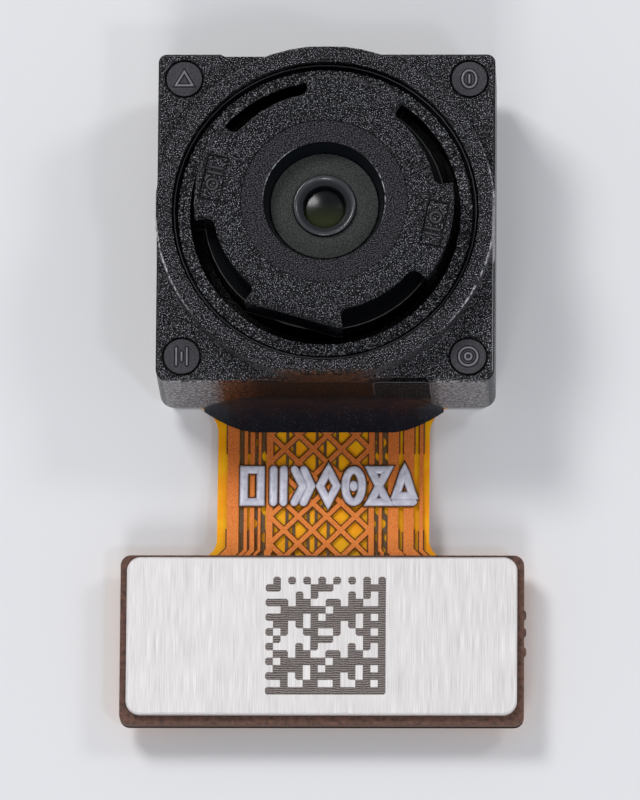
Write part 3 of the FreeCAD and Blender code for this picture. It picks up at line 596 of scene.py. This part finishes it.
def dress_nodes():
    """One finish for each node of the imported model."""
    glass = make_lens_finish()
    spacer = plain("spacer sheet", tone(16, 16, 17), 0.6, size=0.03)
    glue = plain("clear adhesive", tone(176, 168, 140), 0.3, size=0.15)
    dark_glue = plain("dark adhesive", tone(26, 25, 26), 0.5, size=0.10, depth=0.004)
    finishes = {
        "lens_holder": make_holder_finish(),
        "lens_barrel": make_barrel_finish(),
        "front_baffle": make_baffle_finish(),
        "lens_element_1": glass,
        "lens_element_2": glass,
        "lens_element_3": glass,
        "lens_element_4": glass,
        "spacer_sheet_1": spacer,
        "spacer_sheet_2": spacer,
        "spacer_ring": spacer,
        "lens_retainer": plain("retainer plastic", tone(20, 20, 22), 0.5),
        "infrared_filter": plain("filter glass", tone(14, 18, 12), 0.5, alpha=0.85, depth=0.0003, size=0.6,
                                 specular_ior_level=0.1),
        "filter_adhesive": glue,
        "image_sensor": plain("silicon", tone(20, 18, 26), 0.5, size=0.25, depth=0.0004,
                              specular_ior_level=0.1),
        "die_adhesive": glue,
        "bond_wires": plain("gold", tone(230, 190, 96), 0.22, 1.0, spread=0.1),
        "chip_capacitors": plain("chip ceramic", tone(160, 138, 116), 0.45),
        "sensor_board": plain("board laminate", tone(34, 66, 46), 0.5, size=0.05),
        "holder_adhesive": dark_glue,
        "back_plate": plain("rolled steel", tone(196, 196, 196), 0.34, 1.0, spread=0.12, size=0.05),
        "back_plate_adhesive": dark_glue,
        "tail_bottom_film": make_film_finish("base film", tone(252, 158, 0), tone(255, 184, 0), 1.0, 0.5),
        "tail_signal_copper": make_inner_copper_finish(),
        "tail_core_film": make_film_finish("core film", tone(248, 160, 10), tone(255, 186, 40), 0.015, 0.4),
        "tail_shield_copper": make_shield_finish(),
        "tail_top_film": make_film_finish("cover film", tone(244, 154, 20), tone(255, 180, 50), 0.03, 0.22),
        "edge_sealant": make_sealant_finish(),
        "tab_board": make_board_finish(),
        "tab_plate_adhesive": dark_glue,
        "tab_plate": make_plate_finish(),
        "connector_housing": plain("connector plastic", tone(36, 35, 36), 0.5, size=0.05),
        "connector_contacts": plain("contact metal", tone(222, 202, 150), 0.25, 1.0, spread=0.08),
        "connector_anchors": plain("tinned metal", tone(206, 206, 202), 0.3, 1.0, spread=0.08),
    }
    for node, finish in finishes.items():
        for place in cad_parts[node].material_slots:
            place.material = finish


# Raised strokes

def surface_below(node):
    """A function that gives the height of a node's upper surface at x, y, in millimetres."""
    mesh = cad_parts[node].data
    points = [vertex.co / MM for vertex in mesh.vertices]
    tree = BVHTree.FromPolygons(points, [list(face.vertices) for face in mesh.polygons])
    above = 10.0

    def height(x, y):
        hit = tree.ray_cast(Vector((x, y, above)), Vector((0.0, 0.0, -1.0)))[0]
        return hit.z

    return height


def stroke_sections(points, width, closed):
    """The middle, side direction and scale of each section along a stroke, with round ends."""
    count = len(points)
    sections = []
    for index, point in enumerate(points):
        before = points[index - 1] if closed or index > 0 else point
        after = points[(index + 1) % count] if closed or index < count - 1 else point
        first = (point - before).normalized() if before != point else (after - point).normalized()
        second = (after - point).normalized() if after != point else first
        along = (first + second).normalized()
        side = Vector((-along.y, along.x))
        mitre = 1.0 / max(mitre_limit, along.dot(second))
        sections.append((point, side * mitre, 1.0))
    if closed:
        return sections
    half = width / 2
    turns = [math.radians(degrees) for degrees in cap_turns]

    def cap(point, side, out):
        return [(point + out * half * math.sin(turn), side, math.cos(turn)) for turn in turns]

    head = cap(points[0], sections[0][1], -(points[1] - points[0]).normalized())
    tail = cap(points[-1], sections[-1][1], (points[-1] - points[-2]).normalized())
    return head[::-1] + sections + tail


def make_strokes(name, strokes, width, rise, height, finish):
    """One piece of domed strokes that lie on a surface. Each stroke is its points and whether it closes."""
    steps = 6
    points = []
    faces = []
    for path, closed in strokes:
        sections = stroke_sections([Vector(point) for point in path], width, closed)
        first = len(points)
        for middle, side, scale in sections:
            for step in range(steps + 1):
                share = 2.0 * step / steps - 1.0
                place = middle + side * (share * width / 2 * scale)
                lift = rise * scale * math.sqrt(max(0.0, 1.0 - share * share))
                level = height(place.x, place.y) + lift - stroke_sink
                points.append(Vector((place.x, place.y, level)) * MM)
        row = steps + 1
        last = len(sections) if closed else len(sections) - 1
        for index in range(last):
            a = first + index * row
            b = first + (index + 1) % len(sections) * row
            for step in range(row):
                after = (step + 1) % row
                faces.append((a + step, b + step, b + after, a + after))
        if not closed:
            faces.append(tuple(range(first, first + row)))
            end = first + (len(sections) - 1) * row
            faces.append(tuple(range(end + row - 1, end - 1, -1)))
    add_piece(name, points, faces, finish, smooth=True)


def add_piece(name, points, faces, finish, smooth=False):
    """One mesh from points in metres, fixed to the part."""
    mesh = bpy.data.meshes.new(name)
    mesh.from_pydata(points, [], faces)
    mesh.validate()
    mesh.update()
    for face in mesh.polygons:
        face.use_smooth = smooth
    piece = bpy.data.objects.new(name, mesh)
    bpy.context.scene.collection.objects.link(piece)
    mesh.materials.append(finish)
    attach(piece, "root")


def arc(x, y, radius, start=0.0, stop=360.0, count=24):
    """Points along an arc. A full turn leaves out the last point, for a closed stroke."""
    full = abs(stop - start) >= 360.0
    steps = count if full else count - 1
    turns = [math.radians(start + (stop - start) * step / steps) for step in range(count)]
    return [(x + radius * math.cos(turn), y + radius * math.sin(turn)) for turn in turns]


def split(points, closed):
    """The same path with no step longer than the longest, so that it follows the surface."""
    path = []
    pairs = list(zip(points, points[1:] + points[:1] if closed else points[1:]))
    for (x0, y0), (x1, y1) in pairs:
        steps = max(1, math.ceil(math.hypot(x1 - x0, y1 - y0) / longest_step))
        path.extend((x0 + (x1 - x0) * step / steps, y0 + (y1 - y0) * step / steps) for step in range(steps))
    if not closed:
        path.append(points[-1])
    return path


def placed(strokes, x, y, half_width, half_height, turn=0.0):
    """Strokes drawn on a square from -1 to 1, set at x, y with these half sizes."""
    cosine, sine = math.cos(math.radians(turn)), math.sin(math.radians(turn))
    moved = []
    for points, closed in strokes:
        scaled = [(u * half_width, v * half_height) for u, v in points]
        turned = [(x + u * cosine - v * sine, y + u * sine + v * cosine) for u, v in scaled]
        moved.append((split(turned, closed), closed))
    return moved


def make_marks(name, strokes, width, rise, node, finish, dark):
    """Raised strokes, each with a dark line along its foot as painted shadow."""
    top = surface_below(node)
    make_strokes(f"{name}_lines", strokes, width + outline_extra, outline_rise, top, dark)
    make_strokes(name, strokes, width, rise, top, finish)


def make_pad_marks(finish, dark):
    """A simple mould mark on each corner pad: triangle, barred ring, bars and double ring."""
    place = body_half - pad_inset
    size = pad_mark_size
    ring_share = 0.8
    triangle = [([(-0.95, -0.75), (0.95, -0.75), (0.0, 0.85)], True)]
    barred_ring = [(arc(0, 0, 1.0), True), ([(0.0, 0.45), (0.0, -0.45)], False)]
    bars = [([(-0.6, 0.95), (-0.6, -0.95)], False), ([(0.6, 0.95), (0.6, -0.95)], False),
            ([(0.0, 0.45), (0.0, -0.45)], False)]
    double_ring = [(arc(0, 0, 1.05), True), (arc(0, 0, 0.38, count=14), True)]
    strokes = placed(triangle, -place, place, size, size)
    strokes += placed(barred_ring, place, place, size * ring_share, size)
    strokes += placed(bars, -place, -place, size, size)
    strokes += placed(double_ring, place, -place, size, size)
    make_marks("pad_marks", strokes, pad_mark_width, pad_mark_rise, "lens_holder",
               finish, dark)


def make_pocket_marks(finish, dark):
    """A ring and two bars in the pocket of each side lug, with a dark line round the pocket as painted
    shade.
    """
    strokes = []
    frames = []
    for turn in pocket_turns:
        angle = math.radians(turn)
        x, y = pocket_radius * math.cos(angle), pocket_radius * math.sin(angle)
        shape = [(arc(0.0, 0.42, 0.34, count=20), True), ([(-0.42, -0.35), (0.42, -0.35)], False),
                 ([(-0.42, -0.70), (0.42, -0.70)], False)]
        strokes += placed(shape, x, y, pocket_mark_size, pocket_mark_size, turn)
        outline = [([(-1, -1), (1, -1), (1, 1), (-1, 1)], True)]
        frames += placed(outline, x, y, pocket_width / 2, pocket_length / 2, turn)
    top = surface_below("lens_barrel")
    make_strokes("pocket_frames", frames, pocket_mark_width, outline_rise, top, dark)
    make_marks("pocket_marks", strokes, pocket_mark_width, pocket_mark_rise, "lens_barrel",
               finish, dark)


def copper_walls():
    """The upright walls of the upper copper: two columns of points and the way each wall faces."""
    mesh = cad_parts["tail_shield_copper"].data
    columns = {}
    walls = {}
    for face in mesh.polygons:
        if abs(face.normal.z) > 0.5:
            continue
        keys = set()
        for index in face.vertices:
            point = mesh.vertices[index].co / MM
            key = (round(point.x, 4), round(point.y, 4))
            low, high = columns.get(key, (point.z, point.z))
            columns[key] = (min(low, point.z), max(high, point.z))
            keys.add(key)
        if len(keys) == 2:
            walls[tuple(sorted(keys))] = Vector((face.normal.x, face.normal.y)).normalized()
    return columns, walls


def make_film_folds(finish):
    """A thin wedge beside each copper wall, where the cover film comes down to the core."""
    columns, walls = copper_walls()
    points = []
    faces = []
    for (start, end), out in walls.items():
        first = len(points)
        for x, y in (start, end):
            low, high = columns[(x, y)]
            points.append(Vector((x, y, high)) * MM)
            points.append(Vector((x, y, low)) * MM)
            points.append(Vector((x + out.x * fold_width, y + out.y * fold_width, low)) * MM)
        a, b, c, d, e, f = range(first, first + 6)
        wedge = [(a, b, c), (d, f, e), (a, d, e, b), (b, e, f, c), (c, f, d, a)]
        along = Vector(end) - Vector(start)
        if along.x * out.y - along.y * out.x > 0:
            wedge = [face[::-1] for face in wedge]
        faces += wedge
    add_piece("film_folds", points, faces, finish)


def make_lip(finish):
    """The rounded, polished lip round the stop, as a turned ring on the cone of the barrel."""
    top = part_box("lens_barrel")[1].z / MM - lip_top_depth
    outer, crown, inner = (Vector(point) for point in lip_curve)
    shares = [step / lip_curve_steps for step in range(lip_curve_steps + 1)]
    curve = [outer.lerp(crown, share).lerp(crown.lerp(inner, share), share) for share in shares]
    profile = curve + [Vector(point) for point in lip_back]
    points = []
    faces = []
    for index in range(lip_turns):
        angle = 2.0 * math.pi * index / lip_turns
        cosine, sine = math.cos(angle), math.sin(angle)
        points += [Vector((point.x * cosine, point.x * sine, top + point.y)) * MM for point in profile]
        first = index * len(profile)
        second = (index + 1) % lip_turns * len(profile)
        for step in range(len(profile)):
            after = (step + 1) % len(profile)
            faces.append((first + step, first + after, second + after, second + step))
    add_piece("lip_ring", points, faces, finish, smooth=True)


def make_notch_rim(finish):
    """The fine raised edge round the notch in the near wall."""
    left, right = notch_x - notch_width / 2, notch_x + notch_width / 2
    path = [(left, notch_low)]
    path += arc(left + notch_corner, notch_top - notch_corner, notch_corner, 180.0, 90.0, 7)
    path += arc(right - notch_corner, notch_top - notch_corner, notch_corner, 90.0, 0.0, 7)
    path.append((right, notch_low))
    sections = stroke_sections([Vector(point) for point in path], notch_rim_width, False)
    steps = 4
    points = []
    for middle, side, scale in sections:
        for step in range(steps + 1):
            share = 2.0 * step / steps - 1.0
            place = middle + side * (share * notch_rim_width / 2 * scale)
            lift = notch_rim_rise * scale * math.sqrt(1.0 - share * share)
            points.append(Vector((place.x, -body_half + stroke_sink - lift, place.y)) * MM)
    row = steps + 1
    faces = []
    for index in range(len(sections) - 1):
        a, b = index * row, (index + 1) * row
        for step in range(row):
            after = (step + 1) % row
            faces.append((a + step, a + after, b + after, b + step))
    faces.append(tuple(range(row - 1, -1, -1)))
    faces.append(tuple(range(len(points) - row, len(points))))
    add_piece("notch_rim", points, faces, finish, smooth=True)


def make_print_row(finish, dark):
    """Seven raised shapes across the tail."""
    square = [([(-1, 1), (1, 1), (1, -1), (-1, -1)], True)]
    bars = [([(-0.5, 1), (-0.5, -1)], False), ([(0.7, 1), (0.7, -1)], False)]
    chevrons = [([(-1, 1), (0, 0), (-1, -1)], False), ([(0.1, 1), (1, 0), (0.1, -1)], False)]
    diamond = [([(0, 1), (1, 0), (0, -1), (-1, 0)], True)]
    dotted_ring = [(arc(0, 0, 1.0, count=30), True), ([(0.0, 0.06), (0.0, -0.06)], False)]
    hourglass = [([(-1, 1), (1, 1), (-1, -1), (1, -1)], True)]
    triangle = [([(0, 1), (1, -0.6), (-1, -0.6)], True), ([(-1, -1.0), (1, -1.0)], False)]
    shapes = [square, bars, chevrons, diamond, dotted_ring, hourglass, triangle]
    pitch = (print_right - print_left) / len(shapes)
    middle = (print_near + print_far) / 2
    half_height = (print_far - print_near - print_stroke) / 2
    strokes = []
    for index, shape in enumerate(shapes):
        x = print_left + (index + 0.5) * pitch
        strokes += placed(shape, x, middle, pitch * print_shape_share, half_height)
    top = surface_below("tail_top_film")
    # Painted shadow: a wider dark line under each shape.
    make_strokes("print_lines", strokes, print_stroke + print_outline, outline_rise, top, dark)
    make_strokes("print_row", strokes, print_stroke, print_rise, top, finish)


# The square mark on the plate

def cell_is_dark(column, row):
    """A made-up pattern with a full border on two sides and a broken one on the others.

    The cells inside follow a fixed sum, so they say nothing.
    """
    last = cell_count - 1
    if column == last or row == 0:
        return True
    if column == 0 or row == last:
        return (column + row) % 2 == 0
    return (column * column * 3 + row * row * 5 + column * row * 2 + row) % 7 < 4


def cell_outline(column, row):
    """A square cell whose corner is cut where it meets no other dark cell."""
    def dark(step_x, step_y):
        x, y = column + step_x, row + step_y
        return 0 <= x < cell_count and 0 <= y < cell_count and cell_is_dark(x, y)

    x0 = mark_left + column * cell_size - cell_overlap / 2
    y0 = mark_near + row * cell_size - cell_overlap / 2
    size = cell_size + cell_overlap
    points = []
    for side_x, side_y in ((-1, -1), (1, -1), (1, 1), (-1, 1)):
        x = x0 + (size if side_x > 0 else 0.0)
        y = y0 + (size if side_y > 0 else 0.0)
        if dark(side_x, 0) or dark(0, side_y) or dark(side_x, side_y):
            points.append((x, y))
            continue
        cut_x = (x - side_x * cell_corner, y)
        cut_y = (x, y - side_y * cell_corner)
        points.extend([cut_y, cut_x] if side_x * side_y > 0 else [cut_x, cut_y])
    return points


def make_square_mark(finish):
    """The dark cells of the mark, as flat tiles half sunk in the plate."""
    plate_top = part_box("tab_plate")[1].z / MM
    points = []
    faces = []
    for column in range(cell_count):
        for row in range(cell_count):
            if not cell_is_dark(column, row):
                continue
            outline = cell_outline(column, row)
            first = len(points)
            count = len(outline)
            points += [Vector((x, y, plate_top - cell_rise)) * MM for x, y in outline]
            points += [Vector((x, y, plate_top + cell_rise)) * MM for x, y in outline]
            faces.append(tuple(range(first + count - 1, first - 1, -1)))
            faces.append(tuple(range(first + count, first + 2 * count)))
            for index in range(count):
                after = (index + 1) % count
                faces.append((first + index, first + after, first + count + after, first + count + index))
    add_piece("square_mark", points, faces, finish)


# Stage, lamps and camera

def make_floor():
    """The pale floor, a little below the part."""
    half = floor_half * MM
    level = cad_box[0].z - floor_gap * MM
    corners = [(-half, -half, level), (half, -half, level), (half, half, level), (-half, half, level)]
    mesh = bpy.data.meshes.new("floor")
    mesh.from_pydata(corners, [], [(0, 1, 2, 3)])
    floor = bpy.data.objects.new("floor", mesh)
    bpy.context.scene.collection.objects.link(floor)
    finish = Finish("pale floor", tone(226, 226, 228), 0.8, specular_ior_level=0.2)
    mesh.materials.append(finish.material)


def add_lamp(name, place, size, power, color):
    """A soft square lamp that points at the part. Its place and size are in millimetres."""
    data = bpy.data.lights.new(name, "AREA")
    data.shape = "SQUARE"
    data.size = size * MM
    data.energy = power
    data.color = color[:3]
    lamp = bpy.data.objects.new(name, data)
    lamp.location = Vector(place) * MM
    aim = Vector(target) * MM - lamp.location
    lamp.rotation_euler = aim.to_track_quat("-Z", "Y").to_euler()
    bpy.context.scene.collection.objects.link(lamp)


def make_light():
    """A pale sky and four soft lamps: one strong, three weak."""
    world = bpy.data.worlds.new("studio")
    world.use_nodes = True
    background = world.node_tree.nodes["Background"]
    background.inputs["Color"].default_value = tone(236, 238, 242)
    background.inputs["Strength"].default_value = world_strength
    bpy.context.scene.world = world
    add_lamp("left softbox", (-90.0, 100.0, 170.0), 60.0, 0.20, tone(255, 255, 255))
    add_lamp("right softbox", (130.0, 70.0, 150.0), 40.0, 0.06, tone(255, 255, 255))
    add_lamp("low lamp", (60.0, -70.0, 150.0), 16.0, 0.03, tone(225, 236, 255))
    add_lamp("front softbox", (-10.0, -130.0, 130.0), 50.0, 0.08, tone(255, 255, 255))


def make_camera():
    """A long lens at the picture's angle, from the fitted turn, lift, roll and scale."""
    azimuth, elevation, roll = map(math.radians, (camera_azimuth, camera_elevation, camera_roll))
    towards = Vector((math.sin(azimuth) * math.cos(elevation), -math.cos(azimuth) * math.cos(elevation),
                      math.sin(elevation)))
    level = Vector((math.cos(azimuth), math.sin(azimuth), 0.0))
    upright = towards.cross(level)
    right = level * math.cos(roll) + upright * math.sin(roll)
    up = upright * math.cos(roll) - level * math.sin(roll)
    data = bpy.data.cameras.new("camera")
    data.sensor_width = sensor_size
    data.lens = pixels_per_mm * camera_distance / picture_height * sensor_size
    data.clip_start = nearest_view * MM
    camera = bpy.data.objects.new("camera", data)
    shift_right, shift_up = (pixels / pixels_per_mm for pixels in picture_shift)
    aim = Vector(target) - right * shift_right - up * shift_up
    camera.matrix_world = Matrix.Translation((aim + towards * camera_distance) * MM) @ Matrix(
        (right, up, towards)).transposed().to_4x4()
    bpy.context.scene.collection.objects.link(camera)
    bpy.context.scene.camera = camera


def main():
    """Finishes first, then the small pieces, and the stage and the camera last."""
    dress_nodes()
    # The pad marks and the pocket marks are painted lighter than the plastic, as highlights on their raised
    # edges.
    raised = plain("raised marks", tone(112, 111, 118), 0.35, size=0.03)
    faint = plain("faint marks", tone(50, 49, 54), 0.35, size=0.03)
    # Painted shadow: near black lines along the foot of the marks and round the pockets.
    dark = plain("dark lines", tone(3, 3, 4), 0.6, size=0.03, specular_ior_level=0.2)
    make_pad_marks(raised, dark)
    make_pocket_marks(faint, dark)
    make_notch_rim(faint)
    lip = plain("polished lip", tone(50, 51, 54), 0.26, spread=0.15, size=0.05, depth=0.001,
                specular_ior_level=0.6)
    make_lip(lip)
    # Painted shade: dark brown on the film folds and along the foot of the print.
    fold = make_fold_shade_finish()
    make_film_folds(fold)
    make_print_row(make_print_finish(), fold)
    make_square_mark(make_etched_finish())
    make_floor()
    make_light()
    make_camera()
    bpy.context.scene.view_settings.view_transform = "Standard"


main()
